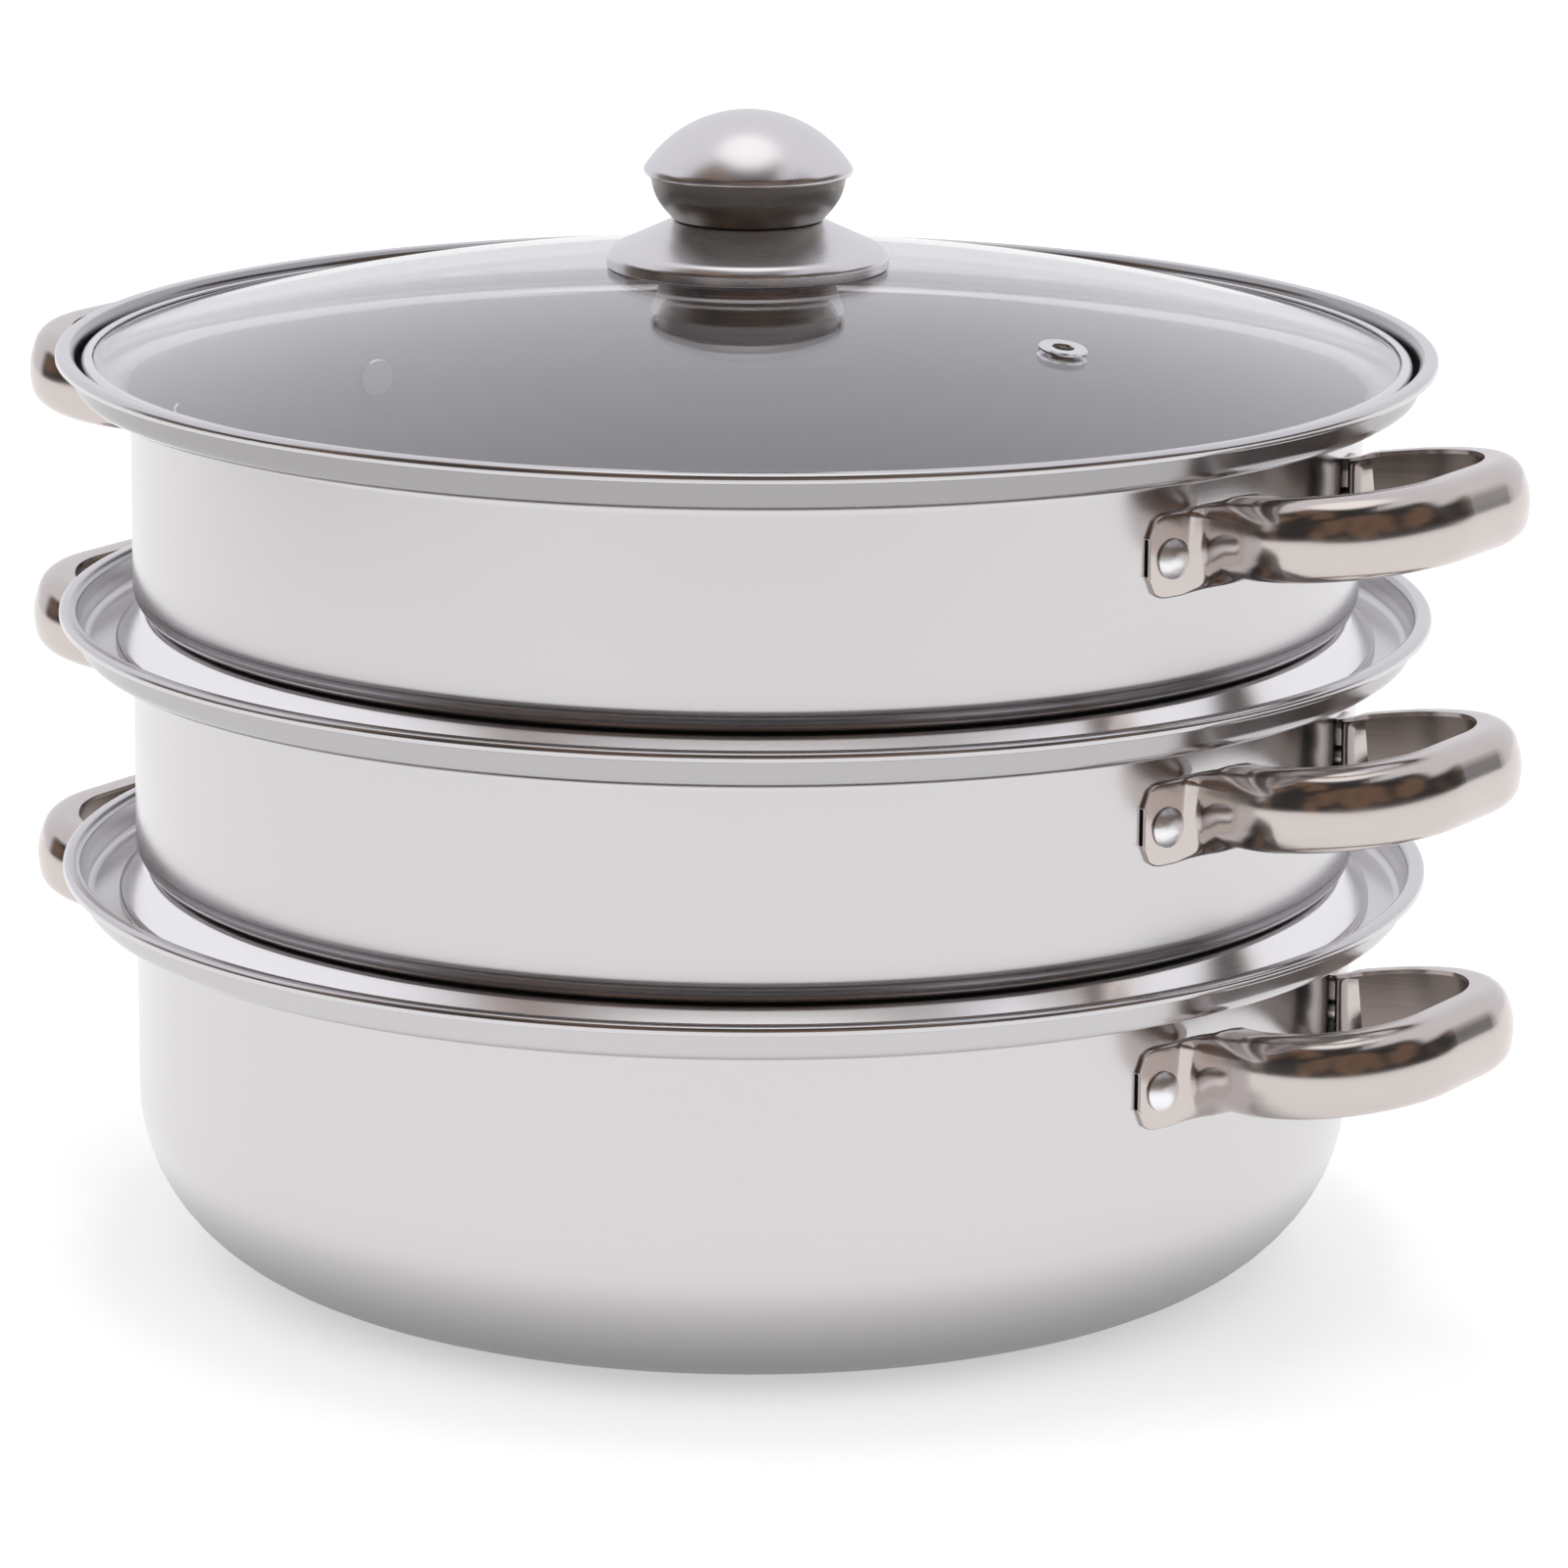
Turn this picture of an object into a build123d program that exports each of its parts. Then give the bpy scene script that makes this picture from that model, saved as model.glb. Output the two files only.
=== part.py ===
"""Three-tier steamer: a stock pot, two perforated steamer tiers and a domed glass lid, in millimetres.

The origin is the centre of the pot's base, +Z is up, and the side handles lie along X. Each vessel is a drawn
steel sheet whose rim steps out to a ledge. The foot ring of the tier above, or the lid, stands on that ledge.
"""
from build123d import *
import math
import os

os.makedirs("parts", exist_ok=True)

# Clearances and the overrun of every cut
running_clearance = 0.1
seat_clearance = 0.05
overrun = 2.0

# Drawn vessels
body_radius = 140.0
sheet = 0.8
pot_height = 93.0
pot_corner = 40.0
tier_height = 60.0
tier_corner = 6.0

# Stepped rim, the same on all three vessels: a ledge outside the wall, a short collar and a lip
ledge_width = 12.4
collar_flare = 1.0
lip_width = 3.4
collar_foot_radius = body_radius + ledge_width
collar_top_radius = collar_foot_radius + collar_flare
lip_radius = collar_top_radius + lip_width
step_depth = 9.1
lip_turn = 1.4
throat_bend = 3.0
step_bend = 3.0
flange_bend = 1.2
lip_bend = 0.5

# Foot ring under a tier
foot_height = 7.5
foot_flare = 4.0
foot_run = 6.0
foot_flange_width = 14.0
foot_radius = body_radius + foot_flare
foot_bend_radius = foot_radius - foot_run
foot_flange_radius = foot_bend_radius - foot_flange_width
foot_fall = 6.0
foot_bend = 2.0
foot_shoulder = 2.0

# Steam holes in a tier's floor, in rings about the centre and inside the foot ring's flange
steam_hole_radius = 4.0
steam_ring_count = 6
holes_per_ring_step = 6
steam_edge_margin = 16.0
steam_ring_pitch = (foot_flange_radius - steam_edge_margin) / steam_ring_count

# Rivets of the side handles
rivet_drop = 27.4
rivet_half_pitch = 40.0
rivet_shank_radius = 2.5
rivet_head_radius = 4.4
rivet_head_height = 2.4
rivet_head_rim = 0.5
rivet_tail_radius = 4.6
rivet_tail_height = 1.2

# Side handles: a pressed channel on a U-shaped line, closed by a liner, with a riveted foot at each end
handle_sheet = 1.0
handle_strap_height = 18.2
handle_strap_depth = 9.5
handle_web_crown = 2.0
handle_edge_bend = 5.5
handle_web_bend = 15.0
handle_tilt = 6.5
handle_drop = 23.7
handle_root_depth = 10.0
handle_root_inset = 9.0
handle_root_half_width = rivet_half_pitch - handle_root_inset
handle_shoulder_reach = 5.0
handle_shoulder_bulge = 1.6
handle_shoulder_half_width = rivet_half_pitch + handle_shoulder_bulge
handle_reach = 51.5
handle_corner_run = 21.6
handle_corner_rise = 24.5
handle_corner_bulge = 0.4
handle_corner_half_width = handle_shoulder_half_width + handle_corner_bulge
handle_corner_reach = handle_reach - handle_corner_run
handle_end_half_width = handle_corner_half_width - handle_corner_rise
handle_shoulder_bend = 14.0
handle_corner_bend = 30.0
handle_end_bend = 44.0
liner_recess = 1.6
liner_sheet = 0.8
foot_tab_margin = 6.8
foot_tab_inset = 13.0
foot_tab_outer_half_width = rivet_half_pitch + foot_tab_margin
foot_tab_inner_half_width = rivet_half_pitch - foot_tab_inset
foot_tab_height = 18.5
foot_tab_drop = 26.7
foot_tab_corner = 5.0

# Lid: the band round the glass, the glass and its steam vent
band_sheet = 0.6
band_clearance = 0.6
band_height = 6.7
band_lip_width = 2.6
band_foot_width = 4.4
band_radius = collar_foot_radius - sheet - band_clearance
band_inner_radius = band_radius - band_lip_width
band_foot_radius = band_radius - band_foot_width
band_foot_bend = 1.5
band_top_bend = 1.5
glass_thickness = 4.0
glass_rise = 20.9
glass_edge_gap = 0.5
glass_edge_bend = 1.2
screw_bore_radius = 4.2
vent_radius = 95.0
vent_azimuth = -10.5
vent_bore_radius = 2.3
vent_tube_radius = 3.4
vent_flange_radius = 5.5
vent_flange_height = 0.9
vent_flange_bend = 0.4

# Knob, from the glass up
knob_sheet = 1.0
gasket_thickness = 1.0
knob_gasket_radius = 15.0
spacer_radius = 12.0
neck_height = 9.7
neck_radius = 17.0
neck_bend = 1.2
skirt_radius = 32.0
skirt_crown_width = 1.2
skirt_crown_rise = 1.6
skirt_bend = 3.0
skirt_edge_height = 2.6
skirt_edge_bend = 1.5
cup_height = 11.2
cup_floor_radius = 16.8
cup_belly_radius = 21.4
cup_belly_height = 5.2
cup_rim_radius = 22.4
cup_floor_bend = 2.0
cup_belly_bend = 12.0
cap_radius = 23.7
cap_rise = 13.0
cap_edge_height = 1.3
cap_overlap = 0.6

# Screw and nut that hold the knob on the glass
screw_radius = 2.9
screw_head_radius = 5.6
screw_head_height = 3.0
screw_slot_width = 1.2
screw_slot_depth = 1.4
nut_radius = 5.8
nut_height = 7.0
screw_gasket_radius = 11.0
washer_sheet = 0.8
washer_top_radius = 19.0
washer_edge_radius = 22.0
washer_height = 8.3
washer_bend = 2.0

# Heights of the stack, each worked out from what stands below it


def ledge_height(lip_height):
    """Top of the ledge in a rim whose lip is at lip_height."""
    return lip_height - step_depth + sheet


middle_floor = ledge_height(pot_height) + foot_height
middle_lip = middle_floor + tier_height
top_floor = ledge_height(middle_lip) + foot_height
top_lip = top_floor + tier_height
lid_seat = ledge_height(top_lip)
band_top = lid_seat + band_height
glass_edge_top = band_top - band_sheet - running_clearance
apex = glass_edge_top + glass_rise
glass_ball = (band_inner_radius**2 + glass_rise**2) / (2 * glass_rise)


def glass_fall(radius, ball=glass_ball):
    """How far a dome of that ball radius falls from its apex at a radius from the axis."""
    return ball - math.sqrt(ball**2 - radius**2)


def finish(builder, name):
    """Label a finished piece and write it."""
    builder.part.label = name
    export_step(builder.part, f"parts/{name}.step")


def radial_plane(azimuth, height, radius=0):
    """A plane that faces outward at an azimuth, at a height and a distance from the axis."""
    turn = math.radians(azimuth)
    outward = Vector(math.cos(turn), math.sin(turn), 0)
    return Plane(origin=outward * radius + Vector(0, 0, height), x_dir=(0, 0, 1), z_dir=outward)


# Rivets stand square to the wall, one each side of each handle's middle
rivet_azimuth = math.degrees(math.asin(rivet_half_pitch / body_radius))
rivet_azimuths = {
    "right": (-rivet_azimuth, rivet_azimuth),
    "left": (180 - rivet_azimuth, 180 + rivet_azimuth),
}
sides = {"right": 1, "left": -1}


# A drawn vessel: its outer line from the middle of the floor to the lip, thickened inward and turned
def make_vessel(name, floor, lip, corner, perforated):
    with BuildPart() as vessel:
        with BuildSketch(Plane.XZ):
            with BuildLine():
                FilletPolyline(
                    (0, floor),
                    (body_radius, floor),
                    (body_radius, lip - step_depth),
                    (collar_foot_radius, lip - step_depth),
                    (collar_top_radius, lip - sheet),
                    (lip_radius - sheet, lip - sheet),
                    (lip_radius - sheet, lip - sheet - lip_turn),
                    radius=[corner, throat_bend, step_bend, flange_bend, lip_bend],
                )
                offset(amount=sheet, side=Side.LEFT)
            make_face()
        revolve(axis=Axis.Z)
        if perforated:
            with BuildSketch(Plane.XY.offset(floor - overrun)):
                Circle(steam_hole_radius)
                for ring in range(1, steam_ring_count + 1):
                    with PolarLocations(ring * steam_ring_pitch, ring * holes_per_ring_step):
                        Circle(steam_hole_radius)
            extrude(amount=sheet + 2 * overrun, mode=Mode.SUBTRACT)
        for azimuth in rivet_azimuths["right"] + rivet_azimuths["left"]:
            with BuildSketch(radial_plane(azimuth, lip - rivet_drop)):
                Circle(rivet_shank_radius + running_clearance)
            extrude(amount=lip_radius, mode=Mode.SUBTRACT)
    finish(vessel, name)


# The foot ring: a flat flange welded under the floor, then a flare down to the edge it stands on
def make_foot_ring(name, floor):
    with BuildPart() as ring:
        with BuildSketch(Plane.XZ):
            with BuildLine():
                FilletPolyline(
                    (foot_flange_radius, floor),
                    (foot_bend_radius, floor),
                    (foot_radius, floor - foot_fall),
                    (foot_radius, floor - foot_height),
                    radius=[foot_bend, foot_shoulder],
                )
                offset(amount=sheet, side=Side.RIGHT)
            make_face()
        revolve(axis=Axis.Z)
    finish(ring, name)


# The plane that a handle's line lies in, tilted up away from the wall
def handle_plane(side, lip):
    tilt = math.radians(handle_tilt)
    return Plane(
        origin=(side * body_radius, 0, lip - handle_drop),
        x_dir=(side * math.cos(tilt), 0, math.sin(tilt)),
        z_dir=(-side * math.sin(tilt), 0, math.cos(tilt)),
    )


def handle_line(plane):
    """The outermost line of the strap, from inside the wall at one foot round to the other."""
    with BuildLine(plane) as line:
        FilletPolyline(
            (-handle_root_depth, -handle_root_half_width),
            (handle_shoulder_reach, -handle_shoulder_half_width),
            (handle_corner_reach, -handle_corner_half_width),
            (handle_reach, -handle_end_half_width),
            (handle_reach, handle_end_half_width),
            (handle_corner_reach, handle_corner_half_width),
            (handle_shoulder_reach, handle_shoulder_half_width),
            (-handle_root_depth, handle_root_half_width),
            radius=[
                handle_shoulder_bend,
                handle_corner_bend,
                handle_end_bend,
                handle_end_bend,
                handle_corner_bend,
                handle_shoulder_bend,
            ],
        )
    return line.line


def strap_section_plane(plane, line):
    """The plane across the start of the strap, with X towards the inside of the loop."""
    along = line % 0
    return Plane(origin=line @ 0, x_dir=plane.z_dir.cross(along), z_dir=along)


def make_handle(name, side, lip):
    plane = handle_plane(side, lip)
    line = handle_line(plane)
    azimuths = rivet_azimuths["right" if side > 0 else "left"]
    wall_gap_radius = body_radius + seat_clearance
    half_height = handle_strap_height / 2
    tab_middle = (foot_tab_outer_half_width + foot_tab_inner_half_width) / 2

    with BuildPart() as tabs:
        with BuildSketch(Plane.XY.offset(lip - foot_tab_drop - foot_tab_height)):
            Circle(wall_gap_radius + handle_sheet)
            Circle(wall_gap_radius, mode=Mode.SUBTRACT)
        extrude(amount=2 * foot_tab_height)
        with BuildSketch(Plane.YZ):
            for v in (-tab_middle, tab_middle):
                with Locations((v, lip - foot_tab_drop)):
                    RectangleRounded(
                        foot_tab_outer_half_width - foot_tab_inner_half_width,
                        foot_tab_height,
                        foot_tab_corner,
                    )
        extrude(amount=side * lip_radius, mode=Mode.INTERSECT)

    with BuildPart() as shell:
        with BuildSketch(strap_section_plane(plane, line)):
            with BuildLine():
                FilletPolyline(
                    (handle_strap_depth, half_height),
                    (handle_web_crown, half_height),
                    (0, 0),
                    (handle_web_crown, -half_height),
                    (handle_strap_depth, -half_height),
                    radius=[handle_edge_bend, handle_web_bend, handle_edge_bend],
                )
                offset(amount=handle_sheet, side=Side.LEFT)
            make_face()
        sweep(path=line)
        with BuildSketch(Plane.XY):
            Circle(wall_gap_radius)
        extrude(amount=top_lip + overrun, mode=Mode.SUBTRACT)
        add(tabs.part)
        for azimuth in azimuths:
            with BuildSketch(radial_plane(azimuth, lip - rivet_drop)):
                Circle(rivet_shank_radius + running_clearance)
            extrude(amount=wall_gap_radius + 2 * handle_sheet, mode=Mode.SUBTRACT)
    finish(shell, f"{name}_shell")

    with BuildPart() as liner:
        with BuildSketch(strap_section_plane(plane, line)):
            with Locations((handle_strap_depth - liner_recess, 0)):
                Rectangle(
                    liner_sheet,
                    handle_strap_height - 2 * (handle_sheet + seat_clearance),
                    align=(Align.MAX, Align.CENTER),
                )
        sweep(path=line)
        with BuildSketch(Plane.XY):
            Circle(wall_gap_radius + handle_sheet + seat_clearance)
        extrude(amount=top_lip + overrun, mode=Mode.SUBTRACT)
    finish(liner, f"{name}_liner")

    head_seat_radius = wall_gap_radius + handle_sheet + seat_clearance
    tail_seat_radius = math.sqrt((body_radius - sheet) ** 2 - rivet_tail_radius**2) - seat_clearance
    with BuildPart() as rivets:
        for azimuth in azimuths:
            head_seat = radial_plane(azimuth, lip - rivet_drop, head_seat_radius)
            tail_seat = radial_plane(azimuth, lip - rivet_drop, tail_seat_radius)
            with BuildSketch(tail_seat.offset(-rivet_tail_height)):
                Circle(rivet_tail_radius)
            extrude(amount=rivet_tail_height)
            with BuildSketch(tail_seat):
                Circle(rivet_shank_radius)
            extrude(amount=head_seat_radius - tail_seat_radius)
            with BuildSketch(
                Plane(origin=head_seat.origin, x_dir=head_seat.z_dir, z_dir=head_seat.y_dir)
            ):
                with BuildLine():
                    Line((0, 0), (0, rivet_head_radius))
                    Line((0, rivet_head_radius), (rivet_head_rim, rivet_head_radius))
                    dome = rivet_head_height - rivet_head_rim
                    ball = (rivet_head_radius**2 + dome**2) / (2 * dome)
                    RadiusArc((rivet_head_rim, rivet_head_radius), (rivet_head_height, 0), ball)
                    Line((rivet_head_height, 0), (0, 0))
                make_face()
            revolve(axis=Axis(head_seat.origin, head_seat.z_dir))
    finish(rivets, f"{name}_rivets")


# Stock pot
make_vessel("pot_shell", 0, pot_height, pot_corner, perforated=False)
for side_name, side in sides.items():
    make_handle(f"pot_handle_{side_name}", side, pot_height)

# Steamer tiers
for tier, floor, lip in (("middle", middle_floor, middle_lip), ("top", top_floor, top_lip)):
    make_vessel(f"{tier}_tier_shell", floor, lip, tier_corner, perforated=True)
    make_foot_ring(f"{tier}_tier_foot_ring", floor)
    for side_name, side in sides.items():
        make_handle(f"{tier}_tier_handle_{side_name}", side, lip)

def band_face(inset):
    """One face of the band from its foot to its lip, set in from the outer face. Its bends are parabolic."""
    side = band_radius - inset
    low = lid_seat + inset
    high = band_top - inset
    foot_turn = lid_seat + band_foot_bend
    top_turn = band_top - band_top_bend
    Line((band_foot_radius, low), (band_radius - band_foot_bend, low))
    Bezier((band_radius - band_foot_bend, low), (side, low), (side, foot_turn))
    Line((side, foot_turn), (side, top_turn))
    Bezier((side, top_turn), (side, high), (band_radius - band_top_bend, high))
    Line((band_radius - band_top_bend, high), (band_inner_radius, high))


# Lid band, rolled round the edge of the glass. Its flat foot stands on the top tier's ledge
with BuildPart() as lid_rim_band:
    with BuildSketch(Plane.XZ):
        with BuildLine():
            band_face(0)
            band_face(band_sheet)
            Line((band_foot_radius, lid_seat), (band_foot_radius, lid_seat + band_sheet))
            Line((band_inner_radius, band_top), (band_inner_radius, band_top - band_sheet))
        make_face()
    revolve(axis=Axis.Z)
finish(lid_rim_band, "lid_rim_band")

# Where the vent stands on the dome: a plane square to the glass
vent_turn = math.asin(vent_radius / glass_ball)
vent_outward = Vector(
    math.sin(vent_turn) * math.cos(math.radians(vent_azimuth)),
    math.sin(vent_turn) * math.sin(math.radians(vent_azimuth)),
    math.cos(vent_turn),
)
vent_plane = Plane(
    origin=Vector(0, 0, apex - glass_ball) + vent_outward * glass_ball,
    x_dir=(-math.sin(math.radians(vent_azimuth)), math.cos(math.radians(vent_azimuth)), 0),
    z_dir=vent_outward,
)

# Domed glass, with a bore for the knob's screw and one for the vent
glass_radius = band_radius - band_sheet - glass_edge_gap
glass_edge_angle = math.degrees(math.asin(glass_radius / glass_ball))
with BuildPart() as lid_glass:
    with BuildSketch(Plane.XZ) as glass_section:
        with BuildLine():
            upper = CenterArc((0, apex - glass_ball), glass_ball, 90, -glass_edge_angle)
            lower = CenterArc((0, apex - glass_ball), glass_ball - glass_thickness, 90, -glass_edge_angle)
            Line(upper @ 1, lower @ 1)
            Line(upper @ 0, lower @ 0)
        make_face()
        fillet(glass_section.vertices().group_by(Axis.X)[-1], glass_edge_bend)
    revolve(axis=Axis.Z)
    with BuildSketch(Plane.XY.offset(lid_seat)):
        Circle(screw_bore_radius)
    extrude(amount=2 * glass_rise, mode=Mode.SUBTRACT)
    with BuildSketch(vent_plane.offset(-glass_thickness - overrun)):
        Circle(vent_tube_radius + running_clearance)
    extrude(amount=glass_thickness + 2 * overrun, mode=Mode.SUBTRACT)
finish(lid_glass, "lid_glass")

# Vent eyelet: a tube through the glass with a rolled flange above and below
vent_top = seat_clearance
vent_bottom = -glass_thickness - 2 * seat_clearance
with BuildPart() as vent_eyelet:
    with BuildSketch(vent_plane.offset(vent_top)) as upper_flange:
        Circle(vent_flange_radius)
    extrude(amount=vent_flange_height)
    fillet(vent_eyelet.edges().group_by(Axis(vent_plane.origin, vent_plane.z_dir))[-1], vent_flange_bend)
    with BuildSketch(vent_plane.offset(vent_bottom - vent_flange_height)):
        Circle(vent_flange_radius)
    extrude(amount=vent_flange_height)
    with BuildSketch(vent_plane.offset(vent_bottom - vent_flange_height)):
        Circle(vent_tube_radius)
    extrude(amount=vent_top - vent_bottom + 2 * vent_flange_height)
    with BuildSketch(vent_plane.offset(vent_bottom - vent_flange_height - overrun)):
        Circle(vent_bore_radius)
    extrude(amount=vent_top - vent_bottom + 2 * (vent_flange_height + overrun), mode=Mode.SUBTRACT)
finish(vent_eyelet, "vent_eyelet")


def make_washer(name, bottom, height, outer, inner):
    with BuildPart() as washer:
        with BuildSketch(Plane.XY.offset(bottom)):
            Circle(outer)
            Circle(inner, mode=Mode.SUBTRACT)
        extrude(amount=height)
    finish(washer, name)


# Knob base: the gasket on the glass, the spacer on the gasket and the spun skirt over both
neck_top = apex + neck_height
make_washer("knob_gasket", apex, gasket_thickness, knob_gasket_radius, screw_bore_radius)
make_washer(
    "knob_spacer",
    apex + gasket_thickness,
    neck_height - gasket_thickness - knob_sheet,
    spacer_radius,
    screw_bore_radius,
)
skirt_edge = apex - glass_fall(skirt_radius) + running_clearance + skirt_edge_height
with BuildPart() as knob_skirt:
    with BuildSketch(Plane.XZ):
        with BuildLine():
            FilletPolyline(
                (screw_bore_radius, neck_top),
                (neck_radius, neck_top),
                (skirt_radius - skirt_crown_width, skirt_edge + skirt_crown_rise),
                (skirt_radius, skirt_edge),
                (skirt_radius, skirt_edge - skirt_edge_height),
                radius=[neck_bend, skirt_bend, skirt_edge_bend],
            )
            offset(amount=knob_sheet, side=Side.RIGHT)
        make_face()
    revolve(axis=Axis.Z)
finish(knob_skirt, "knob_skirt")

# Knob cup, standing on the neck
cup_rim = neck_top + cup_height
with BuildPart() as knob_cup:
    with BuildSketch(Plane.XZ):
        with BuildLine():
            FilletPolyline(
                (screw_bore_radius, neck_top),
                (cup_floor_radius, neck_top),
                (cup_belly_radius, neck_top + cup_belly_height),
                (cup_rim_radius, cup_rim),
                radius=[cup_floor_bend, cup_belly_bend],
            )
            offset(amount=knob_sheet, side=Side.LEFT)
        make_face()
    revolve(axis=Axis.Z)
finish(knob_cup, "knob_cup")

# Knob cap: a spun dome whose edge laps over the cup's rim
cap_edge = cup_rim - cap_overlap
cap_spring = cap_edge + cap_edge_height
cap_ball = (cap_radius**2 + cap_rise**2) / (2 * cap_rise)
cap_inner_ball = cap_ball - knob_sheet
cap_inner_radius = cap_radius - knob_sheet
cap_top = cap_spring + cap_rise
cap_inner_spring = cap_top - cap_ball + math.sqrt(cap_inner_ball**2 - cap_inner_radius**2)
with BuildPart() as knob_cap:
    with BuildSketch(Plane.XZ):
        with BuildLine():
            RadiusArc((0, cap_top), (cap_radius, cap_spring), cap_ball)
            Line((cap_radius, cap_spring), (cap_radius, cap_edge))
            Line((cap_radius, cap_edge), (cap_inner_radius, cap_edge))
            Line((cap_inner_radius, cap_edge), (cap_inner_radius, cap_inner_spring))
            RadiusArc((cap_inner_radius, cap_inner_spring), (0, cap_top - knob_sheet), -cap_inner_ball)
            Line((0, cap_top - knob_sheet), (0, cap_top))
        make_face()
    revolve(axis=Axis.Z)
finish(knob_cap, "knob_cap")

# Nut on the cup's floor
nut_seat = neck_top + knob_sheet
with BuildPart() as knob_nut:
    with BuildSketch(Plane.XY.offset(nut_seat)):
        RegularPolygon(nut_radius, 6)
        Circle(screw_radius + running_clearance, mode=Mode.SUBTRACT)
    extrude(amount=nut_height)
finish(knob_nut, "knob_nut")

# Fixing under the glass: gasket, cup-shaped washer and slotted screw
inner_apex = apex - glass_thickness
screw_gasket_top = inner_apex - glass_fall(screw_gasket_radius, glass_ball - glass_thickness)
washer_top = screw_gasket_top - gasket_thickness
screw_seat = washer_top - washer_sheet
make_washer("screw_gasket", washer_top, gasket_thickness, screw_gasket_radius, screw_bore_radius)
with BuildPart() as screw_washer:
    with BuildSketch(Plane.XZ):
        with BuildLine():
            FilletPolyline(
                (screw_radius + running_clearance, washer_top),
                (washer_top_radius, washer_top),
                (washer_edge_radius, washer_top - washer_height),
                radius=washer_bend,
            )
            offset(amount=washer_sheet, side=Side.RIGHT)
        make_face()
    revolve(axis=Axis.Z)
finish(screw_washer, "screw_washer")
with BuildPart() as knob_screw:
    with BuildSketch(Plane.XY.offset(screw_seat - screw_head_height)):
        Circle(screw_head_radius)
    extrude(amount=screw_head_height)
    with BuildSketch(Plane.XY.offset(screw_seat)):
        Circle(screw_radius)
    extrude(amount=nut_seat + nut_height - screw_seat)
    with BuildSketch(Plane.XY.offset(screw_seat - screw_head_height)):
        Rectangle(2 * screw_head_radius + overrun, screw_slot_width)
    extrude(amount=screw_slot_depth, mode=Mode.SUBTRACT)
finish(knob_screw, "knob_screw")

print("lips", pot_height, middle_lip, top_lip, "apex", apex, "top", cap_top)
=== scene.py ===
# %% [markdown]
# # A three-tier steamer in satin steel
#
# This lesson dresses a stack of drawn steel vessels: a stock pot, two steamer tiers with perforated floors
# and a domed glass lid. The CAD model is loaded first as a fixed frame. It fixes every size and place, so
# each surface below is worked out from the same sizes and laid over it.

import math

import bmesh
import bpy
import numpy as np
from mathutils import Matrix, Vector
from mathutils.geometry import delaunay_2d_cdt


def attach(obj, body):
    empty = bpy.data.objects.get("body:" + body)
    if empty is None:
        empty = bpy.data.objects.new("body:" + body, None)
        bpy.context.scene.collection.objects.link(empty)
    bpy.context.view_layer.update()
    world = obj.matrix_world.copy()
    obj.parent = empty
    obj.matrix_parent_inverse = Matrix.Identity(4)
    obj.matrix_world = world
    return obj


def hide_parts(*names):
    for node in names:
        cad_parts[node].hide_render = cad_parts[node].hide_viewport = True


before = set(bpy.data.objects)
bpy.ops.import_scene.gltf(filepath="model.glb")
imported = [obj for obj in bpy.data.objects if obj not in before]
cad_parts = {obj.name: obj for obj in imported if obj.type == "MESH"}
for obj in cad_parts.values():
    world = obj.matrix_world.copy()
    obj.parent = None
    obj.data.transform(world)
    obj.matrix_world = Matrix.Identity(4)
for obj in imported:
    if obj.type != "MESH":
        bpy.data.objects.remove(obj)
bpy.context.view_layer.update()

# %% [markdown]
# Steel shows its shape by what it mirrors, so a curved wall has to be smooth. The CAD nodes come as flat
# triangles, which would mirror the studio in facets. We therefore work out each visible surface again with
# numpy, on a fine grid, and let it stand for its CAD node. Sizes are written in millimetres and scaled once.

# %% A mesh from numpy arrays
MM = 0.001
CREASE = 35  # degrees past which an edge stays sharp


def signed_volume(points, faces):
    """Volume inside a closed mesh, positive if its faces point out.

    It is the sum over the triangles (a, b, c) of a . (b x c) / 6, where a quad counts as two triangles.
    """
    a, b, c = (points[faces[:, k]] for k in range(3))
    total = np.einsum("ij,ij->i", a, np.cross(b, c)).sum()
    if faces.shape[1] == 4:
        d = points[faces[:, 3]]
        total += np.einsum("ij,ij->i", a, np.cross(c, d)).sum()
    return total / 6


def add_piece(name, mesh, crease=CREASE):
    """Shade a mesh smoothly up to the crease angle and put it in the scene, with its object at the origin."""
    mesh.shade_smooth()
    mesh.set_sharp_from_angle(angle=math.radians(crease))
    piece = bpy.data.objects.new(name, mesh)
    bpy.context.scene.collection.objects.link(piece)
    return piece


def solid(name, points, *face_sets, crease=CREASE):
    """A piece from points in millimetres and arrays of quads or triangles that close a surface."""
    points = np.asarray(points, float).reshape(-1, 3)
    faces = [np.asarray(f, int).reshape(-1, np.shape(f)[-1]) for f in face_sets if len(f)]
    if sum(signed_volume(points, f) for f in faces) < 0:
        faces = [f[:, ::-1] for f in faces]
    mesh = bpy.data.meshes.new(name)
    mesh.from_pydata((points * MM).tolist(), [], [row for f in faces for row in f.tolist()])
    mesh.validate()
    return add_piece(name, mesh, crease)


# %% [markdown]
# Sheet metal is straight runs joined by bends. A drawing of a pressed part gives the corners and the bend
# radius at each, so our helper takes the same two lists. It adds a point just inside the ends of each
# straight run, which keeps smooth shading flat along the run and lets it turn only in the bend.

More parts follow.
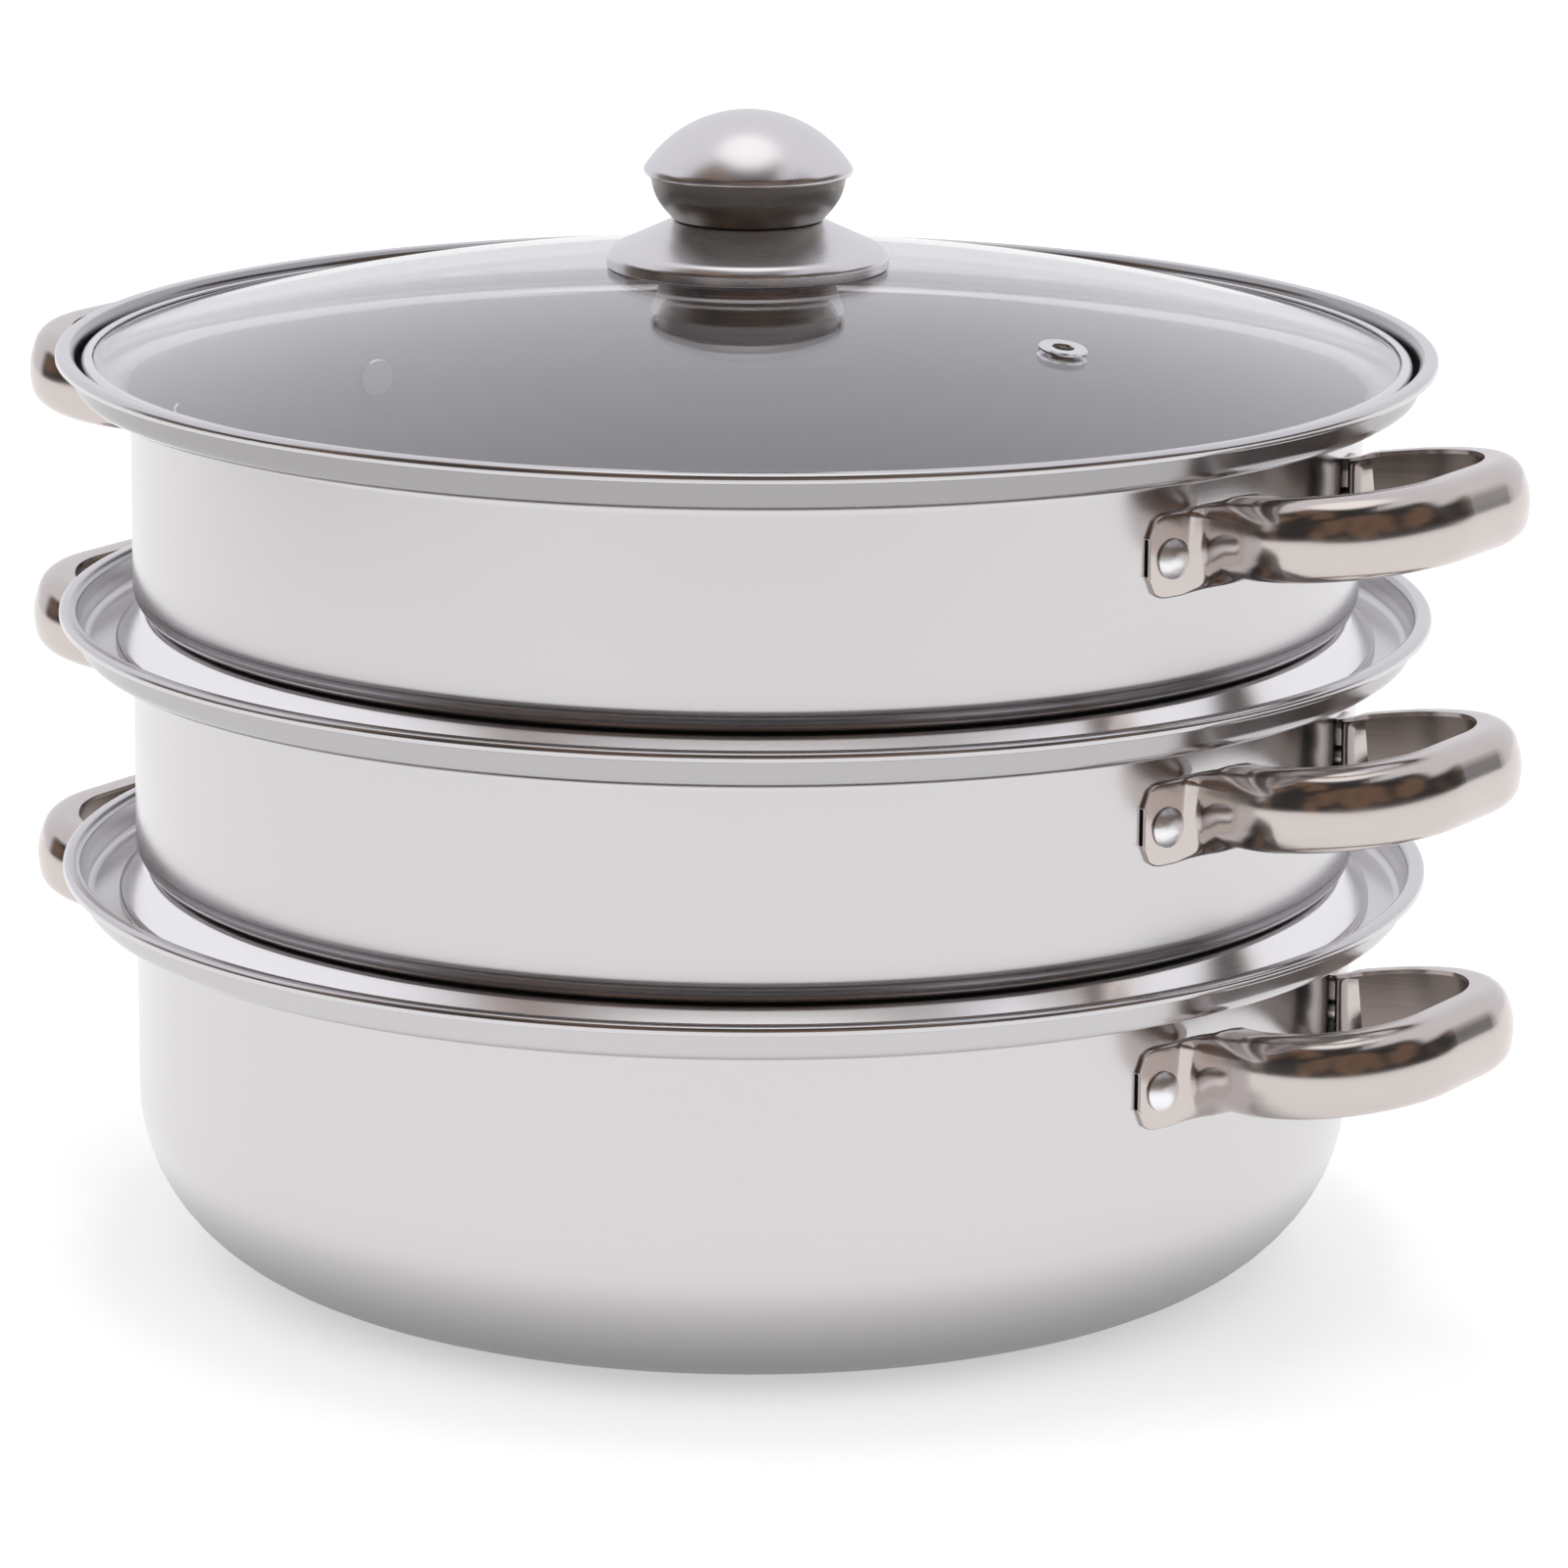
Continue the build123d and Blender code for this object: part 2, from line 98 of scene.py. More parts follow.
# %% A line with rounded corners
def bent_line(corners, radii, arc_step=9, support=0.35):
    """Points along straight runs whose inner corners are arcs.

    A corner of turn t and radius r is cut back by r tan(t / 2), and the arc's centre lies r to the inner
    side. An arc has a point at least every arc_step degrees, and a run has one at support from each end.
    """
    corners = np.asarray(corners, float)
    ways = np.diff(corners, axis=0)
    ways /= np.linalg.norm(ways, axis=1)[:, None]
    pieces = [corners[:1]]
    for here, before, after, radius in zip(corners[1:-1], ways[:-1], ways[1:], radii):
        cross = before[0] * after[1] - before[1] * after[0]
        turn = math.atan2(cross, before @ after)
        if abs(turn) < 1e-6 or radius == 0:
            pieces.append(here[None])
            continue
        start = here - before * radius * math.tan(abs(turn) / 2)
        inner = math.copysign(1, turn) * np.array([-before[1], before[0]])
        steps = max(3, math.ceil(math.degrees(abs(turn)) / arc_step))
        angles = np.linspace(0, abs(turn), steps + 1)[:, None]
        pieces.append(start + inner * radius * (1 - np.cos(angles)) + before * radius * np.sin(angles))
    pieces.append(corners[-1:])
    line = [pieces[0]]
    for left, right in zip(pieces[:-1], pieces[1:]):
        gap = right[0] - left[-1]
        length = np.linalg.norm(gap)
        if length > 4 * support:
            line.append(np.array([left[-1] + gap * support / length, right[0] - gap * support / length]))
        line.append(right)
    return np.vstack(line)


def line_normals(line):
    """Unit normals to the left of a line, from the mean of the ways on either side of each point."""
    ways = np.diff(line, axis=0)
    ways /= np.linalg.norm(ways, axis=1)[:, None]
    mean = np.vstack([ways[:1], ways[:-1] + ways[1:], ways[-1:]])
    mean /= np.linalg.norm(mean, axis=1)[:, None]
    return np.column_stack([-mean[:, 1], mean[:, 0]])


def sheet_loop(line, thickness, rounding=0.3, start_cap=True):
    """A line thickened to its left by a sheet's thickness, with rounded edges where the sheet is cut.

    A cut edge has two corners, each a quarter circle of the radius rounding.
    """
    outer, inner = line.copy(), line + line_normals(line) * thickness

    def cap(k, neighbour):
        outward = (line[k] - line[neighbour]) / np.linalg.norm(line[k] - line[neighbour])
        a, b = outer[k], inner[k]
        across = (b - a) / np.linalg.norm(b - a)
        t = np.linspace(0, math.pi / 2, 4)[:, None]
        first = a + across * rounding * (1 - np.cos(t)) + outward * rounding * (np.sin(t) - 1)
        second = b - across * rounding * (1 - np.sin(t)) + outward * rounding * (np.cos(t) - 1)
        return np.vstack([first, second])

    if start_cap:
        return np.vstack([cap(0, 1)[::-1], outer[1:-1], cap(-1, -2), inner[1:-1][::-1]])
    return np.vstack([outer[:-1], cap(-1, -2), inner[:-1][::-1]])


# %% [markdown]
# Every vessel, ring, lid and knob part here is turned about one axis, as it is on the spinning lathe that
# forms it. One function turns any profile. Where the profile starts and ends on the axis, a single point
# closes each pole. Otherwise the profile is a loop and the surface closes on itself like a ring.

# %% A turned surface
COLUMNS = 192  # faces round the axis


def turned_arrays(profile, steps=COLUMNS):
    """Radius r and height z of a profile, turned through the angle a: the points (r cos a, r sin a, z)."""
    profile = np.asarray(profile, float)
    poles = profile[0, 0] < 1e-6 and profile[-1, 0] < 1e-6
    ring = profile[1:-1] if poles else profile
    a = np.arange(steps) * 2 * math.pi / steps
    grid = np.stack([
        ring[:, :1] * np.cos(a), ring[:, :1] * np.sin(a), np.broadcast_to(ring[:, 1:], (len(ring), steps)),
    ], axis=-1).reshape(-1, 3)
    rows = np.arange(len(ring))
    low, high = (rows[:-1], rows[1:]) if poles else (rows, np.roll(rows, -1))
    low, high = low[:, None] * steps, high[:, None] * steps
    here = np.arange(steps)
    there = np.roll(here, -1)
    quads = np.stack([low + here, high + here, high + there, low + there], axis=-1).reshape(-1, 4)
    if not poles:
        return grid, quads, np.zeros((0, 3), int)
    first, last = len(grid), len(grid) + 1
    end = (len(ring) - 1) * steps
    grid = np.vstack([grid, [0, 0, profile[0, 1]], [0, 0, profile[-1, 1]]])
    triangles = np.vstack([
        np.column_stack([np.full(steps, first), here, there]),
        np.column_stack([np.full(steps, last), end + there, end + here]),
    ])
    return grid, quads, triangles


def turned(name, profile, steps=COLUMNS, crease=CREASE):
    points, quads, triangles = turned_arrays(profile, steps)
    return solid(name, points, quads, triangles, crease=crease)


# %% [markdown]
# ## The camera
#
# The photograph's camera was found by fitting the ellipses of the rims, the walls and the base. It stands
# 1.65 m from the stack's axis, 33 degrees round from the front towards the right-hand handles, and looks
# down 13.45 degrees through a long lens. We build its axes from the pitch, a small yaw and a small roll.

# %% Camera
distance, height = 1.6477, 0.50235
pitch, yaw, roll, around = 0.2348, 0.0055, 0.0073, math.radians(33)
sensor, focal_pixels, frame_pixels = 36, 7494.9, 1600
ahead = Vector((math.sin(yaw) * math.cos(pitch), math.cos(yaw) * math.cos(pitch), -math.sin(pitch)))
right = Vector((math.cos(yaw), -math.sin(yaw), 0))
up = right.cross(ahead)
right, up = right * math.cos(roll) + up * math.sin(roll), up * math.cos(roll) - right * math.sin(roll)
axes = Matrix((right, up, -ahead)).transposed().to_4x4()

lens = bpy.data.cameras.new("camera")
lens.sensor_width = sensor
lens.sensor_fit = "HORIZONTAL"
lens.lens = sensor * focal_pixels / frame_pixels
camera = bpy.data.objects.new("camera", lens)
camera.matrix_world = Matrix.Rotation(around, 4, "Z") @ Matrix.Translation((0, -distance, height)) @ axes
bpy.context.scene.collection.objects.link(camera)
bpy.context.scene.camera = camera
print("lens:", round(lens.lens, 1), "mm")


# %% [markdown]
# ## Shader maps as expressions
#
# A brushed finish is arithmetic on coordinates, so we would like to write it as arithmetic. The class below
# wraps one socket: adding or multiplying two of them adds a Math node. All other nodes come from one
# function, which takes the node's type, its settings and the values or links of its sockets.

# %% The socket class
class Map:
    """One output socket of a node tree. Arithmetic on it adds Math nodes."""

    def __init__(self, tree, socket):
        self.tree, self.socket = tree, socket

    def math(self, operation, *others):
        return add_node(
            self.tree, "ShaderNodeMath", {"operation": operation}, dict(enumerate((self, *others)))
        )

    def __add__(self, other):
        return self.math("ADD", other)

    def __sub__(self, other):
        return self.math("SUBTRACT", other)

    def __rsub__(self, other):
        return self.math("MULTIPLY", -1) + other

    def __mul__(self, other):
        return self.math("MULTIPLY", other)

    def __pow__(self, other):
        return self.math("POWER", other)

    __radd__, __rmul__ = __add__, __mul__

    def between(self, low, high):
        """0 below low, 1 above high and a smooth step from one to the other."""
        return add_node(
            self.tree, "ShaderNodeMapRange", {"interpolation_type": "SMOOTHSTEP"},
            {"Value": self, "From Min": low, "From Max": high},
        )


def plug(tree, socket, value):
    """Link a map to a socket, or set a plain value on it."""
    if isinstance(value, Map):
        tree.links.new(value.socket, socket)
    elif isinstance(value, tuple) and len(value) == 3 and socket.type == "RGBA":
        socket.default_value = (*value, 1)
    else:
        socket.default_value = value


def add_node(tree, kind, settings=None, sockets=None, output=0):
    """Add a node, set its settings first and then its sockets, by name or number, and return an output."""
    made = tree.nodes.new(kind)
    for key, value in (settings or {}).items():
        setattr(made, key, value)
    for key, value in (sockets or {}).items():
        plug(tree, made.inputs[key], value)
    return Map(tree, made.outputs[output])


# %% Nodes that the finishes share
def blend(tree, factor, first, second):
    """A colour from first to second by a factor. 6, 7 and output 2 are the Mix node's colour sockets."""
    return add_node(tree, "ShaderNodeMix", {"data_type": "RGBA"}, {0: factor, 6: first, 7: second}, output=2)


def tinted(tree, colour, tone):
    """A colour times a tone. The Mix node caps its factor, so a tone past 1 gives the colour itself."""
    return blend(tree, tone, (0, 0, 0), colour)


def noise(tree, vector, scale, detail=2.0, roughness=0.5):
    return add_node(
        tree, "ShaderNodeTexNoise", None,
        {"Vector": vector, "Scale": scale, "Detail": detail, "Roughness": roughness},
    )


def bump(tree, height, depth, strength=0.5):
    """The surface's normal, tilted by a height map that is so many metres deep."""
    return add_node(
        tree, "ShaderNodeBump", None, {"Strength": strength, "Distance": depth, "Height": height}
    )


def place_of(tree):
    """Object coordinates, in metres."""
    return add_node(tree, "ShaderNodeTexCoord", output="Object")


def split(vector):
    """The three parts of a vector as maps."""
    parts = add_node(vector.tree, "ShaderNodeSeparateXYZ", None, {0: vector})
    return [Map(vector.tree, socket) for socket in parts.socket.node.outputs]


def joined(tree, x, y, z):
    return add_node(tree, "ShaderNodeCombineXYZ", None, {"X": x, "Y": y, "Z": z})


def new_material(name):
    """A material with an empty node tree, and the socket that takes its shader."""
    material = bpy.data.materials.new(name)
    material.use_nodes = True
    tree = material.node_tree
    tree.nodes.clear()
    return material, tree, tree.nodes.new("ShaderNodeOutputMaterial").inputs[0]


def finish(tree, surface, sockets):
    """Put a Principled shader with these sockets on the surface."""
    plug(tree, surface, add_node(tree, "ShaderNodeBsdfPrincipled", None, sockets))


# %% [markdown]
# ## Satin steel
#
# The vessels are polished on a turning buff, which leaves hair-fine rings round the axis. On the wall they
# differ by height, and on a floor by radius. So the noise reads three coordinates: the angle, stretched very
# long, the radius and the height. It moves the roughness a little and feeds a faint bump.
#
# A vessel has two more marks. Its collar is darkened as painted shade, most on the top tier, and painted
# light brightens it towards the lip. Its inside is pickled and not buffed, so it is rougher and mirrors less,
# and its colour is raised a little as painted light. A mask by radius alone would also catch the outside of a
# rounded bottom corner, so the inside is found by its distance from that corner's centre.

# %% Turned steel finish
# Radii in metres, from and to: the collar's foot, its head, and where painted light brightens it towards the
# lip
COLLAR_FOOT, COLLAR_HEAD, LIP_START = (0.15205, 0.1522), (0.1535, 0.1537), (0.1532, 0.1538)


def cylinder_maps(tree):
    """Object coordinates, and the angle, the radius and the height worked out from them."""
    place = place_of(tree)
    x, y, z = split(place)
    return place, y.math("ARCTAN2", x), (x * x + y * y) ** 0.5, z


def inside_mask(radius, z, cavity):
    """1 on a vessel's inner face and 0 on its outer one, from its wall, floor and corner radius in metres.

    With a and b the distances past the corner's centre, outwards and downwards and never below 0, the inner
    face lies where sqrt(a a + b b) is less than the corner's radius.
    """
    wall_radius, floor_height, corner = cavity
    a = (radius - (wall_radius - corner)).math("MAXIMUM", 0)
    b = (floor_height + corner - z).math("MAXIMUM", 0)
    return 1 - ((a * a + b * b) ** 0.5).between(corner - 0.0006, corner - 0.0002)


def turned_steel(name, colour, roughness, rings=0.03, collar=None, collar_shade=1.0, cavity=None):
    """Steel buffed in rings.

    collar is the height in metres at which the collar's painted shade starts, and cavity is what inside_mask
    takes.
    """
    material, tree, surface = new_material(name)
    place, angle, radius, z = cylinder_maps(tree)
    hair = noise(tree, joined(tree, angle * 0.7, radius * 900, z * 900), 1.0, detail=3.0, roughness=0.6)
    soft = noise(tree, place, 9.0, detail=1.0)
    tone = (hair - 0.5) * 0.025 + 1.0 + (soft - 0.5) * 0.03
    within = 0.0
    if collar is not None:
        # Painted shade darkens the collar, and painted light brightens it towards the lip
        on_collar = z.between(collar - 0.0002, collar + 0.0002) * radius.between(*COLLAR_FOOT)
        on_collar = on_collar * (1 - radius.between(*COLLAR_HEAD))
        tone = tone * (1 - on_collar * (1 - collar_shade)) * (radius.between(*LIP_START) * 0.3 + 1)
    if cavity is not None:
        within = inside_mask(radius, z, cavity)
        # Painted light: the inside's tone is raised, though never past the colour itself
        tone = tone * (within * 0.5 + 1)
    finish(tree, surface, {
        "Base Color": tinted(tree, colour, tone),
        "Metallic": 1 - within * 0.75,
        "Roughness": (hair - 0.5) * rings + roughness + within * 0.5,
        "Normal": bump(tree, hair, 0.00001),
    })
    return material


# %% [markdown]
# ## The vessels
#
# Each vessel is one drawn sheet, 0.8 mm thick. Its outer line runs from the floor up the wall, steps out to a
# ledge, climbs a short collar and turns out to a lip whose edge is turned down. The pot's line starts on the
# axis. A steamer tier's line starts at a ring in its floor, because the middle of that floor is perforated.

# %% Sizes of the vessels
sheet, wall = 0.8, 140.0
lips = {"pot": 93.0, "middle_tier": 152.2, "top_tier": 211.4}
floors = {"pot": 0.0, "middle_tier": 92.2, "top_tier": 151.4}
corners = {"pot": 40.0, "middle_tier": 6.0, "top_tier": 6.0}
# The second number is how far below the lip the collar's painted shade starts
ledge_drop, collar_drop, lip_turn = 9.1, 8.9, 1.4  # ledge and collar below the lip, and the lip's own edge
collar_foot, collar_head, lip_radius = 152.4, 153.4, 156.0
print("top lip at", lips["top_tier"], "mm, wall", 2 * wall, "mm across")


def vessel_line(floor, lip, corner, start):
    """The outer line of a vessel from a radius in its floor to the edge of its lip."""
    ledge, under = lip - ledge_drop, lip - sheet
    line = [(start, floor), (wall, floor), (wall, ledge), (collar_foot, ledge), (collar_head, under),
            (lip_radius, under), (lip_radius, under - lip_turn)]
    return bent_line(line, [corner, 3.0, 3.0, 1.2, 0.5], arc_step=6)


# The line runs with the inside of the vessel on its left, so the sheet is thickened that way
def vessel_profile(name, start):
    line = vessel_line(floors[name], lips[name], corners[name], start)
    return sheet_loop(line, sheet, start_cap=False)


# %% Steel of the vessels
# Each vessel's collar gets its own painted shade, darkest on the top tier
vessel_steel = {
    vessel: turned_steel(
        f"{vessel}_steel", (0.645, 0.63, 0.64), 0.2, collar=(lips[vessel] - collar_drop) * MM,
        collar_shade=shade, cavity=(wall * MM, floors[vessel] * MM, corners[vessel] * MM),
    )
    for vessel, shade in {"pot": 0.87, "middle_tier": 0.73, "top_tier": 0.58}.items()
}
print("vessel materials:", list(vessel_steel))

# %% [markdown]
# The perforated floor is the one part that isn't turned. A constrained Delaunay triangulation takes the
# outline of the disc and of all 127 holes at once and fills what is left with triangles. We drop those
# inside a hole, copy the plate to both faces of the sheet and wall each hole with a strip of quads.

# %% Perforated plate
hole_pitch, hole_rings, hole_radius, hole_steps = 18.0, 6, 4.0, 20
plate_edge = 121.0


def circle(centre, radius, steps):
    a = np.arange(steps) * 2 * math.pi / steps
    return np.asarray(centre) + radius * np.column_stack([np.cos(a), np.sin(a)])


def steam_holes():
    """Centres of the holes: one in the middle, then ring k of radius k pitches with 6 k holes."""
    rings = [circle((0, 0), hole_pitch * k, 6 * k) for k in range(1, hole_rings + 1)]
    return np.vstack([np.zeros((1, 2)), *rings])


def perforated_arrays(floor):
    """Both faces of a plate with holes, and the wall of each hole. The edge stays open to join the wall."""
    centres = steam_holes()
    outline = circle((0, 0), plate_edge, COLUMNS)
    holes = np.vstack([circle(c, hole_radius, hole_steps) for c in centres])
    ring = np.column_stack([np.arange(COLUMNS), np.roll(np.arange(COLUMNS), -1)])
    base = COLUMNS + hole_steps * np.arange(len(centres))[:, None]
    here = (base + np.arange(hole_steps)).ravel()
    there = (base + np.roll(np.arange(hole_steps), -1)).ravel()
    edges = np.vstack([ring, np.column_stack([here, there])])
    made = delaunay_2d_cdt([Vector(p) for p in np.vstack([outline, holes])], edges.tolist(), [], 0, 1e-5)
    flat = np.array([tuple(p) for p in made[0]])
    faces = np.array(made[2])
    middle = flat[faces].mean(axis=1)
    near = np.linalg.norm(middle[:, None] - centres[None], axis=2).min(axis=1)
    faces = faces[near > hole_radius * math.cos(math.pi / hole_steps)]
    count = len(flat)
    low = np.column_stack([flat, np.full(count, floor)])
    high = np.column_stack([flat, np.full(count, floor + sheet)])
    walls = np.column_stack([here, there, there + count, here + count])
    return np.vstack([low, high]), np.vstack([faces[:, ::-1], faces + count]), walls


def steamer(name, tier):
    """A tier: the turned wall, an open strip from edge to edge, joined to its perforated floor."""
    profile = vessel_profile(tier, plate_edge)
    points, quads, _ = turned_arrays(profile)
    quads = quads[: (len(profile) - 1) * COLUMNS]
    plate, triangles, walls = perforated_arrays(floors[tier])
    faces = quads.tolist() + (triangles + len(points)).tolist() + (walls + len(points)).tolist()
    mesh = bpy.data.meshes.new(name)
    mesh.from_pydata((np.vstack([points, plate]) * MM).tolist(), [], faces)
    shape = bmesh.new()
    shape.from_mesh(mesh)
    bmesh.ops.remove_doubles(shape, verts=shape.verts, dist=1e-6)
    bmesh.ops.recalc_face_normals(shape, faces=shape.faces)
    open_edges = sum(1 for e in shape.edges if len(e.link_faces) != 2)
    shape.to_mesh(mesh)
    shape.free()
    print(name, "open edges:", open_edges, "faces:", len(mesh.polygons))
    return add_piece(name, mesh)


# %% Place the vessels
def dress(piece, body, material, slot, *nodes):
    """Give a piece its material and its body, and hide the CAD nodes it stands for. The slot is not used."""
    piece.data.materials.append(material)
    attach(piece, body)
    if nodes:
        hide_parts(*nodes)
    return piece


dress(turned("pot_wall", vessel_profile("pot", 0.0)), "pot", vessel_steel["pot"], "steel", "pot_shell")
for tier in ("middle_tier", "top_tier"):
    dress(steamer(f"{tier}_wall", tier), tier, vessel_steel[tier], "steel", f"{tier}_shell")

# %% [markdown]
# ## Foot rings
#
# Under each steamer floor a flared ring is spot-welded. It stands on the ledge in the rim below and shows as
# a bright band between the dark corner of one tier and the lip of the next.

# %% Foot rings
flange_inner, flange_outer, flare = 124, 138, 144  # radii
flare_drop, foot_height = 6.0, 7.5
foot_steel = turned_steel("foot_steel", (0.95, 0.93, 0.93), 0.2)
for tier in ("middle_tier", "top_tier"):
    floor = floors[tier]
    line = [(flange_inner, floor), (flange_outer, floor), (flare, floor - flare_drop),
            (flare, floor - foot_height)]
    ring = turned(f"{tier}_foot", sheet_loop(bent_line(line, [2.0, 2.0], arc_step=5), -sheet))
    dress(ring, tier, foot_steel, "steel", f"{tier}_foot_ring")
print("foot rings:", 2 * flare, "mm across")

# %% [markdown]
# ## Handles
#
# A handle is one strip of sheet pressed into a channel. Its two feet lie flat on the wall under the rivets,
# and between them the strip bends away, swells to its full height and runs round in a loop. We draw the
# strip's middle line in plan, give the channel and the flat foot each a cross-section with the same number
# of points, and blend from one section to the other along the line.

# %% The line of a handle in plan
foot_skin = 141.05  # radius of the foot's outer face
foot_end, foot_root = 46.8, 37.3  # where the foot ends and where it leaves the wall, from the middle
root_run = 4.0  # how far the strip goes straight on from there
loop_corners, loop_radii = [(15.0, 42.0), (34.0, 42.3), (51.5, 22.5)], [3.2, 28.0, 26.0, 37.0]
step_along = 2.5  # longest step along the line


def handle_path():
    """Points (u, v): u out from the wall's radius at the handle's middle, v along the wall.

    The foot follows the wall as an arc whose end tangents meet at radius foot_skin / cos(half its angle).
    """
    first, last = math.asin(foot_end / foot_skin), math.asin(foot_root / foot_skin)
    mean, half = (first + last) / 2, (first - last) / 2
    reach = foot_skin / math.cos(half)
    end = (foot_skin * math.cos(first) - wall, foot_end)
    bend = (reach * math.cos(mean) - wall, reach * math.sin(mean))
    inner = np.array([foot_skin * math.cos(last) - wall, foot_skin * math.sin(last)])
    root = inner + root_run * np.array([math.sin(last), -math.cos(last)])
    upper = [end, bend, tuple(root), *loop_corners]
    lower = [(u, -v) for u, v in upper[::-1]]
    radii = [foot_skin, *loop_radii]
    return bent_line(upper + lower, radii + radii[::-1], arc_step=5, support=0.6)


def refine(line):
    """The same line with extra points, so that no step is longer than step_along."""
    parts = [line[:1]]
    for a, b in zip(line[:-1], line[1:]):
        count = max(1, math.ceil(np.linalg.norm(b - a) / step_along))
        parts.append(a + (b - a) * (np.arange(1, count + 1) / count)[:, None])
    return np.vstack(parts)


def lengths_along(line):
    """The distance run from the first point to each point of a line."""
    return np.concatenate([[0], np.cumsum(np.linalg.norm(np.diff(line, axis=0), axis=1))])


handle_line = refine(handle_path())
ways = np.gradient(handle_line, axis=0)
ways /= np.linalg.norm(ways, axis=1)[:, None]
handle_normal = np.column_stack([ways[:, 1], -ways[:, 0]])
handle_run = lengths_along(handle_line)
from_end = np.minimum(handle_run, handle_run[-1] - handle_run)
print("a handle's strip:", round(handle_run[-1], 1), "mm long")

# %% [markdown]
# Both sections list their points in the same order: down the top flange from its edge, round the bend,
# across the web, round the lower bend and back along the lower flange, then the same again on the inside. A
# point is a depth into the loop and a height across the strip.

# %% The two cross-sections
strip_height, strip_depth = 18.2, 9.5
foot_half = 9.25  # half the height of the foot
flange_points, turn_points, web_points = 5, 8, 17


def channel_side(depth, half, crown, bend, web):
    """One face of the channel, from the top flange's edge to the bottom one's.

    The web is bowed out by crown, with the radius web, and each flange leaves it in an arc of radius bend.
    """
    corners = [(depth, half), (crown, half), (0, 0), (crown, -half), (depth, -half)]
    line = bent_line(corners, [bend, web, bend], arc_step=1.0, support=0.01)
    length = lengths_along(line)
    angle = math.atan2(half, crown)
    straight = depth - crown - bend * math.tan((math.pi - angle) / 2)
    arc = bend * (math.pi - angle)
    total = length[-1]
    places = np.concatenate([
        np.linspace(0, straight, flange_points)[:-1],
        np.linspace(straight, straight + arc, turn_points)[:-1],
        np.linspace(straight + arc, total - straight - arc, web_points)[:-1],
        np.linspace(total - straight - arc, total - straight, turn_points)[:-1],
        np.linspace(total - straight, total, flange_points),
    ])
    return np.column_stack([np.interp(places, length, line[:, k]) for k in (0, 1)])


def section_loop(depth, half, crown, bend, web, thickness):
    """Both faces of the channel: the inner one is the outer one moved in by the sheet's thickness."""
    outer = channel_side(depth, half, crown, bend, web)
    inner = channel_side(
        depth, half - thickness, crown, max(bend - thickness, 0.15), max(web - thickness, 1.0)
    )
    inner[:, 0] += thickness * np.clip((depth - inner[:, 0]) / (depth - crown), 0, 1)
    return np.vstack([outer, inner[::-1]])


channel = section_loop(strip_depth, strip_height / 2, crown=2.0, bend=5.5, web=15.0, thickness=1.0)
foot = section_loop(0.95, foot_half, crown=0.02, bend=0.45, web=400.0, thickness=0.4)
print("points in a section:", len(channel), len(foot))

# %% Sweep the section along the line
tilt = math.radians(6.5)  # how far the loop's plane is tilted up
foot_level, loop_level = 26.7, 23.7  # below the lip: the foot's middle, and the loop's plane at the wall
swell_start, swell_run, foot_corner = 9.5, 11.0, 5  # along the line from the foot's end
wall_gap, rivet_gap = 0.06, 0.05


def swept(section, keep, height, tilt, narrow=1.0):
    """A section of (depth d, height b) carried along the handle's line.

    The point is line + d normal in a plane tilted up from the wall, and b square to that plane.
    """
    line, normal = handle_line[keep], handle_normal[keep]
    d, b = section[None, :, 0], section[None, :, 1] * narrow
    u = line[:, :1] + normal[:, :1] * d
    v = line[:, 1:] + normal[:, 1:] * d
    return np.stack([
        wall + u * math.cos(tilt) - b * math.sin(tilt), v, height + u * math.sin(tilt) + b * math.cos(tilt),
    ], axis=-1)


def kept_outside(points, radius):
    """The same points, with those nearer to the stack's axis than a radius moved out to it."""
    out = np.linalg.norm(points[..., :2], axis=-1, keepdims=True)
    points[..., :2] *= np.maximum(out, radius) / out
    return points


def strap_points(lip):
    """Points of the strip: at each place on the line the foot's section and the channel's, mixed by w.

    The foot stands upright against the wall, with rounded corners. w is a smooth step of the distance from
    the foot's end.
    """
    w = np.clip((from_end - swell_start) / swell_run, 0, 1)
    w = (w * w * (3 - 2 * w))[:, None, None]
    near = np.clip(foot_corner - from_end, 0, foot_corner)
    narrow = (1 - (foot_corner - np.sqrt(foot_corner**2 - near**2)) / foot_half)[:, None]
    whole = slice(None)
    flat = swept(foot, whole, lip - foot_level, 0.0, narrow)
    return kept_outside(flat * (1 - w) + swept(channel, whole, lip - loop_level, tilt) * w, wall + wall_gap)


def tube_faces(rows, loop):
    """Quads of a tube of rows of looped points, and strips that close its two ends."""
    r, c = np.arange(rows - 1)[:, None], np.arange(loop)[None]
    n = (c + 1) % loop
    quads = np.stack([r * loop + c, r * loop + n, (r + 1) * loop + n, (r + 1) * loop + c], axis=-1)
    k = np.arange(loop // 2 - 1)
    start = np.column_stack([k, loop - 1 - k, loop - 2 - k, k + 1])
    end = start[:, ::-1] + (rows - 1) * loop
    return np.vstack([quads.reshape(-1, 4), start, end])


def handed(points, side):
    """The right-hand handle as it is, or turned half a turn about the axis for the left."""
    points = np.array(points, float)
    points[..., :2] *= side
    return points


def uv_from(piece, along, across):
    """A UV map in metres, from a distance along the strip and one across it for each vertex."""
    mesh = piece.data
    values = np.stack(np.broadcast_arrays(along, across), axis=-1).reshape(-1, 2) * MM
    layer = mesh.uv_layers.new(name="run")
    corner = np.empty(len(mesh.loops), np.int32)
    mesh.loops.foreach_get("vertex_index", corner)
    layer.data.foreach_set("uv", values[corner].astype(np.float32).ravel())


# %% [markdown]
# The liner is a flat strip that closes the channel at the back, 1.6 mm inside its edges. It follows the same
# line at a constant depth, starts past the foot and is kept off the foot's skin.

# %% The liner
liner_back, liner_front, liner_half, liner_start = 7.9, 7.1, 7.9, 18.0


